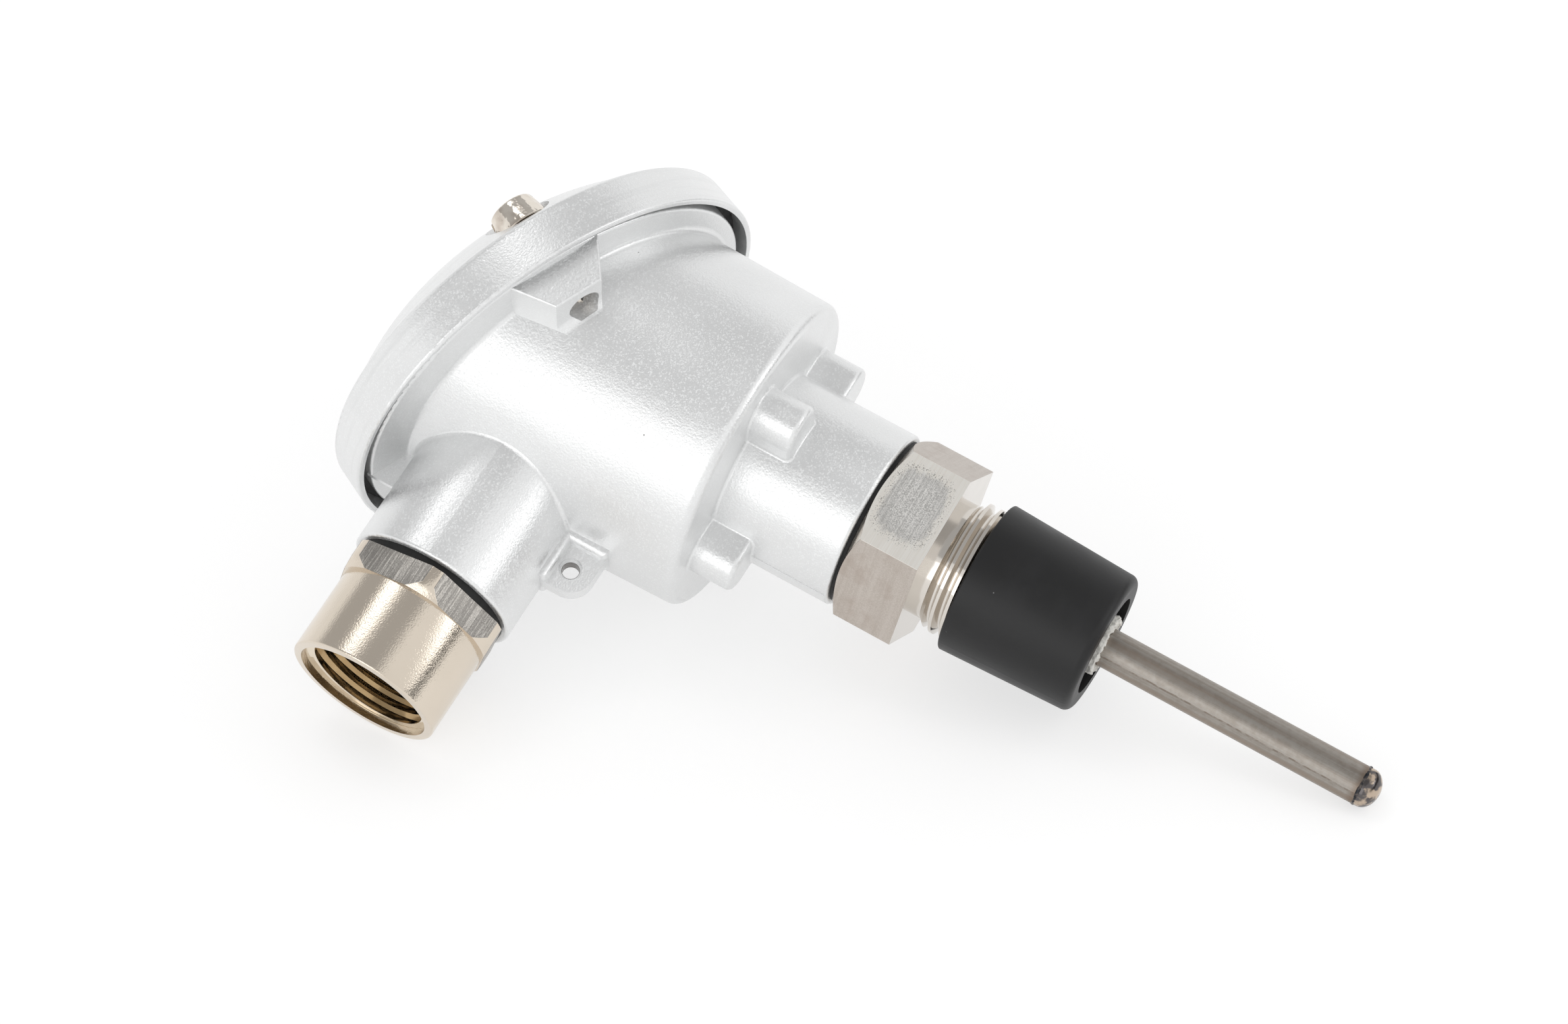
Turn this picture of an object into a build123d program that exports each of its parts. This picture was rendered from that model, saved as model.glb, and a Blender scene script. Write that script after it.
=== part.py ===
from build123d import *
import os
from math import cos, pi, radians, sin, sqrt, tan

# Resistance temperature probe with a die-cast connection head.
# Millimetres. The origin lies on the probe's axis at the hexagon's lower face, +Z runs up to the head,
# +X points to the cable entry and -Z to the probe's tip. Near means the +Y side, far the -Y side.

os.makedirs("parts", exist_ok=True)

# Clearances that tie the pieces together, and how far a form runs into or past the next one
# before the two are joined or cut
RUNNING_FIT = 0.06
FIXED_FIT = 0.03
FACE_GAP = 0.02
OVERLAP = 1.0

# Sheath, its end plug and what is in it
SHEATH_R = 3.0
SHEATH_WALL = 0.5
SEAM_Z = -69.55
TIP_LENGTH = 2.95
TIP_STRAIGHT = 0.7
TIP_PLUG_LENGTH = 2.0
ELEMENT_LENGTH = 15.0
ELEMENT_CLEARANCE = 0.3
POTTING_LENGTH = 3.0
WIRE_R = 0.5
WIRE_CIRCLE_R = 1.15
RED_WIRE_1_DEG = 30
RED_WIRE_2_DEG = 150
WHITE_WIRE_DEG = 270
WIRE_BEND_R = 1.2
WIRE_END_RUN = 2.5
WIRE_IN_CLAMP = 1.0

# Hexagon nipple
HEX_FLATS = 27.0
HEX_HEIGHT = 10.8
HEX_FACE_R = 13.45
HEX_CHAMFER_DEG = 33.0
HEX_CORNER_DEG = -4.3
PIPE_THREAD_R = 10.4775
PIPE_THREAD_MINOR_R = 9.316
PIPE_THREAD_LENGTH = 15.0
RELIEF_LENGTH = 1.6
THREAD_CHAMFER = 1.0
NECK_THREAD_R = 12.0
NECK_THREAD_LENGTH = 13.0
NIPPLE_BORE_R = 5.5
NIPPLE_WELD_LENGTH = 12.0

# Thread protection cap
CAP_OPEN_Z = -6.0
CAP_LENGTH = 21.3
CAP_OPEN_R = 11.92
CAP_END_R = 11.06
CAP_END_WALL = 2.0
CAP_HOLE_R = 7.8
CAP_EDGE_R = 1.3
CAP_LIP_R = 0.3
CAP_BORE_TAPER = 0.6

# Torn white ring round the sheath at the cap's mouth
TORN_RING_R = 4.7
TORN_RING_RAGGED = 0.4
TORN_RING_LENGTH = 2.6
TORN_RING_STANDS_OUT = 0.35
TORN_RING_TEETH = 24

# Neck of the head and its gasket
NECK_GASKET_THICK = 0.6
NECK_GASKET_R = 13.2
NECK_R = 14.06
NECK_EDGE_R = 0.5
NECK_JOIN_R = 0.5

# The mould's parting line, a low ridge down the neck
RIDGE_WIDTH = 0.3
RIDGE_STANDS_OUT = 0.12

# Round body of the head, drafted outwards towards the flange
FLOOR_Z = 31.3
FLOOR_THICK = 3.0
BODY_R = 25.12
BODY_DRAFT_DEG = 1.5
BODY_WALL = 3.0
BODY_EDGE_R = 1.5
NECK_THROAT_R = 8.0

# Bosses under the floor for the screws of the terminal block
BOSS_R = 3.95
BOSS_LENGTH = 7.1
BOSS_EDGE_R = 0.9
BOSS_JOIN_R = 0.4
BLOCK_SCREW_R = 2.0
BLOCK_SCREW_HEAD_R = 3.5
BLOCK_SCREW_HEAD_HEIGHT = 2.6
BLOCK_SCREW_LENGTH = 12.0
BLOCK_SCREW_SLOT = 1.0

# Lid plane: its lip's lower edge lies in this tilted plane
LID_TILT_DEG = 24.11
LID_X = 2.02
LID_Z = 64.72

# Flange of the housing, measured along the lid's axis from the lid plane
FLANGE_R = 33.12
FLANGE_UNDERSIDE_H = 0.4
FLANGE_THICK = 3.2
FLANGE_EDGE_R = 0.4
FLANGE_JOIN_R = 0.8

# Lid
LIP_CLEARANCE = 1.52
LIP_WALL = 0.94
SKIRT_TAPER = 0.28
SKIRT_TOP_H = 6.9
SHOULDER_WIDTH = 1.3
SHOULDER_H = 7.7
DOME_STEP = 1.0
DOME_BASE_H = 8.0
DOME_RISE = 10.0
DOME_POWER = 2.6
DOME_POINTS = 6
DOME_RIM_SLOPE = 0.75
LID_WALL = 2.6
LID_EDGE_R = 0.4
SKIRT_EDGE_R = 0.9
LID_LEDGE_LAND = 1.6

# Gasket in the lid
GASKET_THICK = 1.6
GASKET_WIDTH = 4.01

# Lid screws, one at each side, near and far
LID_SCREW_X = -1.15
LID_SCREW_INSET = 5.42
LID_SCREW_R = 2.5
LID_SCREW_SEAT_H = 8.3
LID_SCREW_TIP_H = -5.3
LID_SCREW_CONE_DEG = 45.0
LID_SCREW_HEAD_BASE_R = 4.3
LID_SCREW_HEAD_TOP_R = 3.6
LID_SCREW_HEAD_HEIGHT = 4.1
LID_SCREW_SLOT_WIDTH = 1.2
LID_SCREW_SLOT_DEPTH = 1.6
LID_SCREW_HEAD_TOP_EDGE_R = 0.5
LID_SCREW_HEAD_BASE_EDGE_R = 0.25
LID_WASHER_R = 3.9
LID_WASHER_THICK = 0.55
LID_POCKET_R = 5.1
LID_BOSS_R = 4.6

# Tapered lugs under the flange that take the lid screws
LUG_X = -0.3
LUG_FACE_OUT = 4.5
LUG_END_H = -5.7
LUG_WIDTH_AT_FLANGE = 15.1
LUG_WIDTH_AT_END = 7.85
LUG_DEPTH = 12.0
LUG_EDGE_R = 0.35
LUG_JOIN_R = 1.6

# Entry boss for the cable adapter
ENTRY_Z = 61.5
ENTRY_R = 13.1
ENTRY_END_X = 42.86
ENTRY_START_X = 18.0
ENTRY_EDGE_R = 0.5
ENTRY_JOIN_R = 0.6
ENTRY_THREAD_R = 10.0

# Thin rib between entry boss and flange
RIB_THICK = 0.9
RIB_END_X = 31.94

# Earth lug under the entry boss, a flat plate in the plane of the probe and entry axes
EARTH_THICK = 2.4
EARTH_HOLE_FROM_BODY = 4.88
EARTH_HOLE_Z = 45.5
EARTH_ROUND_R = 3.7
EARTH_ROOT_DEPTH = 1.12
EARTH_HOLE_R = 1.3
EARTH_COUNTERBORE_R = 1.75
EARTH_COUNTERBORE_DEPTH = 0.7
EARTH_PAD_WIDTH = 6.0
EARTH_PAD_ON_BODY = 1.2
EARTH_PAD_ON_ENTRY = 1.0
EARTH_PAD_CREST = 0.1
EARTH_CORNER_STRAIGHT = 0.1

# Seal and cable adapter
ENTRY_SEAL_THICK = 1.2
ENTRY_SEAL_R = 12.8
ADAPTER_FLATS = 24.0
ADAPTER_CORNER_R = 13.3
ADAPTER_CORNER_DEG = -11.5
ADAPTER_HEX_LENGTH = 4.3
ADAPTER_HEX_STRAIGHT = 2.7
ADAPTER_HEX_END_R = 12.5
ADAPTER_BARREL_R = 11.8
ADAPTER_MOUTH_X = 61.5
ADAPTER_MOUTH_R = 10.5
ADAPTER_MOUTH_DEPTH = 1.2
ADAPTER_THREAD_DEPTH = 13.5
ADAPTER_CABLE_R = 7.5
ADAPTER_SPIGOT_LENGTH = 13.0
ADAPTER_EDGE_R = 0.35

# Terminal block and clamps
BLOCK_CLEARANCE = 1.62
BLOCK_SCREW_INSET = 4.0
BLOCK_BASE_HEIGHT = 6.0
BLOCK_HOLE_R = 4.5
BLOCK_EDGE_R = 0.6
BARRIER_THICK = 2.0
BARRIER_LENGTH = 9.0
BARRIER_HEIGHT = 8.0
BARRIER_FROM_HOLE = 0.5
TERMINAL_X = 9.5
TERMINAL_Y = 5.2
TERMINAL_WIDTH = 6.0
TERMINAL_HEIGHT = 6.2
TERMINAL_WIRE_HOLE_R = 1.3
TERMINAL_WIRE_HEIGHT = 3.0
TERMINAL_SCREW_R = 1.6
TERMINAL_SCREW_HEAD_R = 2.6
TERMINAL_SCREW_HEAD_HEIGHT = 1.8
TERMINAL_SCREW_SLOT = 0.8

# Sizes worked out from the ones above
BLOCK_Z = FLOOR_Z + FLOOR_THICK
NECK_END_Z = HEX_HEIGHT + NECK_GASKET_THICK
FLANGE_TOP_H = FLANGE_UNDERSIDE_H + FLANGE_THICK
LIP_INNER_R = FLANGE_R + LIP_CLEARANCE
LIP_R = LIP_INNER_R + LIP_WALL
SKIRT_TOP_R = LIP_R - SKIRT_TAPER
SHOULDER_R = SKIRT_TOP_R - SHOULDER_WIDTH
DOME_R = SHOULDER_R - DOME_STEP
GASKET_R = LIP_INNER_R - FIXED_FIT
GASKET_INNER_R = GASKET_R - GASKET_WIDTH
LID_LEDGE_R = GASKET_INNER_R - LID_LEDGE_LAND
LID_SCREW_Y = FLANGE_R - LID_SCREW_INSET
LUG_FACE_Y = LID_SCREW_Y + LUG_FACE_OUT
LEDGE_H = FLANGE_TOP_H + FACE_GAP + GASKET_THICK
BLOCK_R = BODY_R - BODY_WALL - BLOCK_CLEARANCE
BOSS_CIRCLE_R = BLOCK_R - BLOCK_SCREW_INSET
EARTH_HOLE_X = BODY_R + EARTH_HOLE_FROM_BODY
EARTH_ROOT_X = BODY_R - EARTH_ROOT_DEPTH
BORE_R = SHEATH_R - SHEATH_WALL
WELD_R = SHEATH_R + FIXED_FIT
SHEATH_TOP_Z = BLOCK_Z + BLOCK_BASE_HEIGHT / 2
BLOCK_TOP_Z = BLOCK_Z + BLOCK_BASE_HEIGHT
WIRE_Z = BLOCK_TOP_Z + TERMINAL_WIRE_HEIGHT
ELEMENT_LOW_Z = SEAM_Z + TIP_PLUG_LENGTH + FIXED_FIT
ELEMENT_TOP_Z = ELEMENT_LOW_Z + ELEMENT_LENGTH

# Frames that sub-parts are made in
LID_FRAME = Plane(
    origin=(LID_X, 0, LID_Z),
    x_dir=(cos(radians(LID_TILT_DEG)), 0, sin(radians(LID_TILT_DEG))),
    z_dir=(-sin(radians(LID_TILT_DEG)), 0, cos(radians(LID_TILT_DEG))),
)
ENTRY_FRAME = Plane(origin=(0, 0, ENTRY_Z), x_dir=(0, 1, 0), z_dir=(1, 0, 0))


def rod(radius, low, high, x=0, y=0):
    """A cylinder along the local Z axis between two heights."""
    return Pos(x, y, low) * Cylinder(radius, high - low, align=(Align.CENTER, Align.CENTER, Align.MIN))


def ring(outer, inner, low, high):
    return rod(outer, low, high) - rod(inner, low, high)


def block(width, depth, low, high, x=0, y=0):
    """A box centred on a point of the local XY plane between two heights."""
    return Pos(x, y, low) * Box(width, depth, high - low, align=(Align.CENTER, Align.CENTER, Align.MIN))


def outline(*points):
    return make_face(Polyline(*points, close=True))


def eased(face, *corners):
    """Round the named corners (x, y, radius) of a flat outline."""
    for x, y, radius in corners:
        corner = face.vertices().sort_by_distance((x, y, 0))[0]
        face = fillet(corner, radius)
    return face


def joined(base, extra, radius, keep=None):
    """Add a form to a base and round the lines where the two meet, or those of them that are kept."""
    total = base + extra
    lines = new_edges(base, extra, combined=total)
    if keep:
        lines = keep(lines)
    return fillet(lines, radius)


def turned(face):
    """Turn an outline, drawn as radius and height, about the local Z axis."""
    return revolve(Plane.XZ * face, axis=Axis.Z)


def hexagon(flats, low, high, corner_deg):
    corner_r = flats / sqrt(3)
    face = RegularPolygon(corner_r, 6, rotation=corner_deg)
    return Pos(0, 0, low) * extrude(face, high - low)


def slot(length, width, depth, top):
    return block(length, width, top - depth, top + OVERLAP)


def save(shape, name):
    export_step(shape, os.path.join("parts", name + ".step"))
    return shape


def body_radius(z):
    """Outer radius of the drafted body at a height."""
    return BODY_R + (z - FLOOR_Z) * tan(radians(BODY_DRAFT_DEG))


def dome_height(radius):
    """Height of the lid's outer dome over the lid plane."""
    return DOME_BASE_H + DOME_RISE * (1 - (radius / DOME_R) ** DOME_POWER)


def lid_plane_z(x, height):
    """Z of the plane that lies parallel to the lid plane at a height, at a given X."""
    slope = tan(radians(LID_TILT_DEG))
    return LID_Z + (x - LID_X) * slope + height / cos(radians(LID_TILT_DEG))


# The casting: solid outer forms first, hollows cut at the end

def body_form():
    top_z = lid_plane_z(FLANGE_R, FLANGE_TOP_H)
    face = outline((0, FLOOR_Z), (BODY_R, FLOOR_Z), (body_radius(top_z), top_z), (0, top_z))
    body = turned(eased(face, (BODY_R, FLOOR_Z, BODY_EDGE_R)))
    room = 4 * FLANGE_R
    above = block(room, room, FLANGE_UNDERSIDE_H + FLANGE_THICK / 2, room)
    return body - LID_FRAME * above


def flange_form():
    face = outline(
        (0, FLANGE_UNDERSIDE_H), (FLANGE_R, FLANGE_UNDERSIDE_H), (FLANGE_R, FLANGE_TOP_H), (0, FLANGE_TOP_H),
    )
    eases = [(FLANGE_R, FLANGE_UNDERSIDE_H, FLANGE_EDGE_R), (FLANGE_R, FLANGE_TOP_H, FLANGE_EDGE_R)]
    return LID_FRAME * turned(eased(face, *eases))


def neck_form():
    top_z = FLOOR_Z + FLOOR_THICK / 2
    face = outline((0, NECK_END_Z), (NECK_R, NECK_END_Z), (NECK_R, top_z), (0, top_z))
    return turned(eased(face, (NECK_R, NECK_END_Z, NECK_EDGE_R)))


def floor_boss():
    """A boss at +X: round outside, flat sided where it runs into the neck."""
    low = FLOOR_Z - BOSS_LENGTH
    high = FLOOR_Z + FLOOR_THICK / 2
    web = block(BOSS_CIRCLE_R, 2 * BOSS_R, low, high, x=BOSS_CIRCLE_R / 2)
    boss = rod(BOSS_R, low, high, x=BOSS_CIRCLE_R) + web
    end_edges = boss.edges().filter_by_position(Axis.Z, low - 0.01, low + 0.01)
    outer_edges = end_edges.filter_by(lambda edge: edge.center().X > 1)
    return fillet(outer_edges, BOSS_EDGE_R)


def parting_ridge():
    depth = NECK_R + RIDGE_STANDS_OUT - NECK_THREAD_R - OVERLAP
    middle_x = NECK_R + RIDGE_STANDS_OUT - depth / 2
    return block(depth, RIDGE_WIDTH, NECK_END_Z + NECK_EDGE_R, FLOOR_Z - BOSS_EDGE_R, middle_x)


def entry_form():
    face = outline(
        (0, ENTRY_START_X), (ENTRY_R, ENTRY_START_X), (ENTRY_R, ENTRY_END_X), (0, ENTRY_END_X),
    )
    return ENTRY_FRAME * turned(eased(face, (ENTRY_R, ENTRY_END_X, ENTRY_EDGE_R)))


def lid_screw_lug():
    """The near lug: a trapezoid that narrows away from the flange, extruded to its outer face."""
    half_top = LUG_WIDTH_AT_FLANGE / 2
    half_end = LUG_WIDTH_AT_END / 2
    top_h = FLANGE_UNDERSIDE_H + FLANGE_THICK / 2
    spread = (half_top - half_end) * (top_h - FLANGE_UNDERSIDE_H) / (FLANGE_UNDERSIDE_H - LUG_END_H)
    face = outline(
        (LUG_X - half_top - spread, top_h), (LUG_X - half_end, LUG_END_H),
        (LUG_X + half_end, LUG_END_H), (LUG_X + half_top + spread, top_h),
    )
    lug = Pos(0, LUG_FACE_Y, 0) * Rot(90, 0, 0) * extrude(face, LUG_DEPTH)
    outer = lug.edges().filter_by_position(Axis.Y, LUG_FACE_Y - 0.01, LUG_FACE_Y + 0.01)
    corners = outer.filter_by(lambda edge: edge.center().Z < FLANGE_UNDERSIDE_H)
    return LID_FRAME * fillet(corners, LUG_EDGE_R)


def rib_form():
    """Triangular rib between the flange's corner and the top of the entry boss."""
    low_z = ENTRY_Z + ENTRY_R - OVERLAP
    inner_x = BODY_R - OVERLAP
    face = outline(
        (RIB_END_X, low_z), (inner_x, low_z), (inner_x, lid_plane_z(inner_x, FLANGE_UNDERSIDE_H) + OVERLAP),
        (RIB_END_X, lid_plane_z(RIB_END_X, FLANGE_UNDERSIDE_H) + FLANGE_THICK / 4),
    )
    return Pos(0, RIB_THICK / 2, 0) * Rot(90, 0, 0) * extrude(face, RIB_THICK)


def earth_pads():
    """Two low pads with rounded edges that carry the earth lug, one on the body and one on the entry boss."""
    low_z = EARTH_HOLE_Z - EARTH_ROUND_R
    body_pad = rod(body_radius(EARTH_HOLE_Z) + EARTH_PAD_ON_BODY, low_z, EARTH_HOLE_Z + EARTH_ROUND_R)
    body_pad &= block(BODY_R, EARTH_PAD_WIDTH, low_z, ENTRY_Z, EARTH_ROOT_X + BODY_R / 2)
    outer = body_pad.edges().filter_by(lambda edge: edge.center().X > body_radius(ENTRY_Z))
    body_pad = fillet(outer, EARTH_PAD_ON_BODY - EARTH_PAD_CREST)
    end_x = EARTH_HOLE_X + EARTH_ROUND_R
    entry_pad = ENTRY_FRAME * rod(ENTRY_R + EARTH_PAD_ON_ENTRY, EARTH_ROOT_X, end_x)
    entry_pad &= block(2 * end_x, EARTH_PAD_WIDTH, low_z, ENTRY_Z)
    outer = entry_pad.edges().filter_by(lambda edge: edge.center().Z < ENTRY_Z - ENTRY_R)
    outer = outer.filter_by(lambda edge: edge.center().X > EARTH_ROOT_X + OVERLAP)
    return body_pad, fillet(outer, EARTH_PAD_ON_ENTRY - EARTH_PAD_CREST)


def earth_lug():
    """Plate with a round end and a hole for the earth screw."""
    top_z = ENTRY_Z - ENTRY_R + OVERLAP
    end_x = EARTH_HOLE_X + EARTH_ROUND_R
    low_z = EARTH_HOLE_Z - EARTH_ROUND_R
    face = outline((EARTH_ROOT_X, top_z), (end_x, top_z), (end_x, low_z), (EARTH_ROOT_X, low_z))
    face = eased(face, (end_x, low_z, EARTH_ROUND_R - EARTH_CORNER_STRAIGHT))
    plate = Pos(0, EARTH_THICK / 2, 0) * Rot(90, 0, 0) * extrude(face, EARTH_THICK)
    across = Plane(origin=(EARTH_HOLE_X, 0, EARTH_HOLE_Z), x_dir=(1, 0, 0), z_dir=(0, 1, 0))
    hole = across * rod(EARTH_HOLE_R, -EARTH_THICK, EARTH_THICK)
    counterbore = across * rod(EARTH_COUNTERBORE_R, EARTH_THICK / 2 - EARTH_COUNTERBORE_DEPTH, EARTH_THICK)
    return plate, hole + counterbore


def cavity():
    """The hollow inside: chamber, neck thread, throat, entry thread and screw holes."""
    top_z = lid_plane_z(FLANGE_R, FLANGE_TOP_H) + FLANGE_THICK
    inner_low = body_radius(BLOCK_Z) - BODY_WALL
    inner_top = body_radius(top_z) - BODY_WALL
    face = outline((0, BLOCK_Z), (inner_low, BLOCK_Z), (inner_top, top_z), (0, top_z))
    hollow = turned(eased(face, (inner_low, BLOCK_Z, BODY_EDGE_R)))
    hollow += rod(NECK_THREAD_R + FIXED_FIT, NECK_END_Z - OVERLAP, NECK_END_Z + NECK_THREAD_LENGTH + OVERLAP)
    hollow += rod(NECK_THROAT_R, NECK_END_Z, BLOCK_Z + OVERLAP)
    for angle in range(0, 360, 90):
        x = BOSS_CIRCLE_R * cos(radians(angle))
        y = BOSS_CIRCLE_R * sin(radians(angle))
        hole_low = BLOCK_TOP_Z - BLOCK_SCREW_LENGTH - OVERLAP
        hollow += rod(BLOCK_SCREW_R + FIXED_FIT, hole_low, BLOCK_Z + OVERLAP, x, y)
    hollow += ENTRY_FRAME * rod(ENTRY_THREAD_R + FIXED_FIT, ENTRY_START_X, ENTRY_END_X + OVERLAP)
    for side in (1, -1):
        hole_r = LID_SCREW_R + RUNNING_FIT
        screw_hole = rod(hole_r, LUG_END_H - OVERLAP, FLANGE_TOP_H + OVERLAP, LID_SCREW_X, side * LID_SCREW_Y)
        hollow += LID_FRAME * screw_hole
    return hollow


def head_housing():
    casting = joined(body_form(), flange_form(), FLANGE_JOIN_R)
    near_lug = lid_screw_lug()
    for side, lug in ((1, near_lug), (-1, mirror(near_lug, about=Plane.XZ))):
        lug_root = LID_FRAME.from_local_coords((LUG_X, side * BODY_R, LUG_END_H))
        casting = joined(casting, lug, LUG_JOIN_R, lambda lines: lines.sort_by_distance(lug_root)[0])
    casting = joined(casting, neck_form(), NECK_JOIN_R)
    casting = joined(casting, entry_form(), ENTRY_JOIN_R)
    for angle in range(0, 360, 90):
        casting = joined(casting, Rot(0, 0, angle) * floor_boss(), BOSS_JOIN_R)
    earth_plate, earth_hole = earth_lug()
    body_pad, entry_pad = earth_pads()
    casting += [rib_form(), parting_ridge(), body_pad, entry_pad, earth_plate]
    return casting - cavity() - earth_hole


# Lid and what rides with it

def dome_line(offset):
    """Points of the dome's curve from the rim to the axis, lowered by a wall."""
    steps = range(DOME_POINTS)
    radii = [(DOME_R - offset) * (1 - step / (DOME_POINTS - 1)) for step in steps]
    stretch = DOME_R / (DOME_R - offset)
    return [(radius, dome_height(radius * stretch) - offset) for radius in radii]


def dome_curve(offset):
    points = dome_line(offset)
    return Spline(*points, tangents=[(-1, DOME_RIM_SLOPE), (-1, 0)], tangent_scalars=[1, 1])


def head_lid():
    dome = dome_curve(0)
    rim = Polyline(
        (DOME_R, DOME_BASE_H), (SHOULDER_R, SHOULDER_H), (SKIRT_TOP_R, SKIRT_TOP_H), (LIP_R, 0),
        (LIP_INNER_R, 0), (LIP_INNER_R, LEDGE_H), (LID_LEDGE_R, LEDGE_H), (0, LEDGE_H), (0, dome_height(0)),
    )
    face = make_face(dome + rim)
    face = eased(
        face, (LIP_R, 0, LID_EDGE_R), (SKIRT_TOP_R, SKIRT_TOP_H, SKIRT_EDGE_R),
    )
    shell = turned(face)
    inner = dome_curve(LID_WALL)
    inner_r, inner_h = dome_line(LID_WALL)[0]
    inner_rim = Polyline(
        (inner_r, inner_h), (LID_LEDGE_R, inner_h), (LID_LEDGE_R, LEDGE_H - OVERLAP),
        (0, LEDGE_H - OVERLAP), (0, dome_height(0) - LID_WALL),
    )
    hollow = turned(make_face(inner + inner_rim)) & rod(LID_LEDGE_R, LEDGE_H - OVERLAP, dome_height(0))
    for side in (1, -1):
        y = side * LID_SCREW_Y
        hollow -= rod(LID_BOSS_R, LEDGE_H, dome_height(0), LID_SCREW_X, y)
    shell -= hollow
    for side in (1, -1):
        y = side * LID_SCREW_Y
        shell -= rod(LID_POCKET_R, LID_SCREW_SEAT_H, dome_height(0), LID_SCREW_X, y)
        shell -= rod(LID_SCREW_R + RUNNING_FIT, 0, dome_height(0), LID_SCREW_X, y)
    return LID_FRAME * shell


def lid_gasket():
    low = FLANGE_TOP_H + FACE_GAP
    return LID_FRAME * ring(GASKET_R, GASKET_INNER_R, low, LEDGE_H)


def lid_screw(side):
    """Cheese-head screw with a cone point, made along the lid's axis."""
    under_head = LID_SCREW_SEAT_H + FACE_GAP + LID_WASHER_THICK + FACE_GAP
    top = under_head + LID_SCREW_HEAD_HEIGHT
    cone = LID_SCREW_R * tan(radians(LID_SCREW_CONE_DEG))
    face = outline(
        (0, LID_SCREW_TIP_H), (LID_SCREW_R, LID_SCREW_TIP_H + cone), (LID_SCREW_R, under_head),
        (LID_SCREW_HEAD_BASE_R, under_head), (LID_SCREW_HEAD_TOP_R, top), (0, top),
    )
    face = eased(
        face, (LID_SCREW_HEAD_TOP_R, top, LID_SCREW_HEAD_TOP_EDGE_R),
        (LID_SCREW_HEAD_BASE_R, under_head, LID_SCREW_HEAD_BASE_EDGE_R),
    )
    screw = turned(face) - slot(4 * LID_SCREW_R, LID_SCREW_SLOT_WIDTH, LID_SCREW_SLOT_DEPTH, top)
    return LID_FRAME * Pos(LID_SCREW_X, side * LID_SCREW_Y, 0) * screw


def lid_screw_washer(side):
    low = LID_SCREW_SEAT_H + FACE_GAP
    washer = ring(LID_WASHER_R, LID_SCREW_R + RUNNING_FIT, low, low + LID_WASHER_THICK)
    return LID_FRAME * Pos(LID_SCREW_X, side * LID_SCREW_Y, 0) * washer


# Cable entry

def entry_seal():
    return ENTRY_FRAME * ring(
        ENTRY_SEAL_R, ENTRY_THREAD_R + FIXED_FIT, ENTRY_END_X, ENTRY_END_X + ENTRY_SEAL_THICK,
    )


def conduit_adapter():
    hex_x = ENTRY_END_X + ENTRY_SEAL_THICK
    step_x = hex_x + ADAPTER_HEX_LENGTH
    hex_head = hexagon(ADAPTER_FLATS, hex_x, step_x, ADAPTER_CORNER_DEG)
    corners = outline(
        (0, hex_x), (ADAPTER_CORNER_R, hex_x), (ADAPTER_CORNER_R, hex_x + ADAPTER_HEX_STRAIGHT),
        (ADAPTER_HEX_END_R, step_x), (0, step_x),
    )
    barrel = outline((0, hex_x), (ADAPTER_BARREL_R, hex_x), (ADAPTER_BARREL_R, ADAPTER_MOUTH_X),
                     (0, ADAPTER_MOUTH_X))
    barrel = eased(barrel, (ADAPTER_BARREL_R, ADAPTER_MOUTH_X, ADAPTER_EDGE_R))
    adapter = (hex_head & turned(corners)) + turned(barrel)
    adapter += rod(ENTRY_THREAD_R, hex_x - ADAPTER_SPIGOT_LENGTH, hex_x)
    thread_low = ADAPTER_MOUTH_X - ADAPTER_THREAD_DEPTH
    adapter -= rod(ADAPTER_MOUTH_R, ADAPTER_MOUTH_X - ADAPTER_MOUTH_DEPTH, ADAPTER_MOUTH_X + OVERLAP)
    adapter -= rod(PIPE_THREAD_MINOR_R, thread_low, ADAPTER_MOUTH_X)
    adapter -= rod(ADAPTER_CABLE_R, hex_x - ADAPTER_SPIGOT_LENGTH - OVERLAP, ADAPTER_MOUTH_X)
    return ENTRY_FRAME * adapter


# Nipple, cap and sheath

def neck_gasket():
    return ring(NECK_GASKET_R, NECK_THREAD_R + FIXED_FIT, HEX_HEIGHT, NECK_END_Z)


def hex_nipple():
    corner_r = HEX_FLATS / sqrt(3)
    drop = (corner_r - HEX_FACE_R) * tan(radians(HEX_CHAMFER_DEG))
    shape = outline(
        (0, 0), (corner_r, 0), (corner_r, HEX_HEIGHT - drop), (HEX_FACE_R, HEX_HEIGHT), (0, HEX_HEIGHT),
    )
    nipple = hexagon(HEX_FLATS, 0, HEX_HEIGHT, HEX_CORNER_DEG) & turned(shape)
    upper_top = NECK_END_Z + NECK_THREAD_LENGTH
    upper = outline(
        (0, 0), (NECK_THREAD_R, 0), (NECK_THREAD_R, upper_top - THREAD_CHAMFER),
        (NECK_THREAD_R - THREAD_CHAMFER, upper_top), (0, upper_top),
    )
    lower_end = -PIPE_THREAD_LENGTH
    lower = outline(
        (0, OVERLAP), (PIPE_THREAD_MINOR_R, OVERLAP), (PIPE_THREAD_MINOR_R, -RELIEF_LENGTH),
        (PIPE_THREAD_R, -RELIEF_LENGTH - (PIPE_THREAD_R - PIPE_THREAD_MINOR_R)),
        (PIPE_THREAD_R, lower_end + THREAD_CHAMFER), (PIPE_THREAD_R - THREAD_CHAMFER, lower_end), (0, lower_end),
    )
    nipple += turned(upper) + turned(lower)
    nipple -= rod(WELD_R, lower_end - OVERLAP, upper_top)
    return nipple - rod(NIPPLE_BORE_R, lower_end + NIPPLE_WELD_LENGTH, upper_top + OVERLAP)


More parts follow.
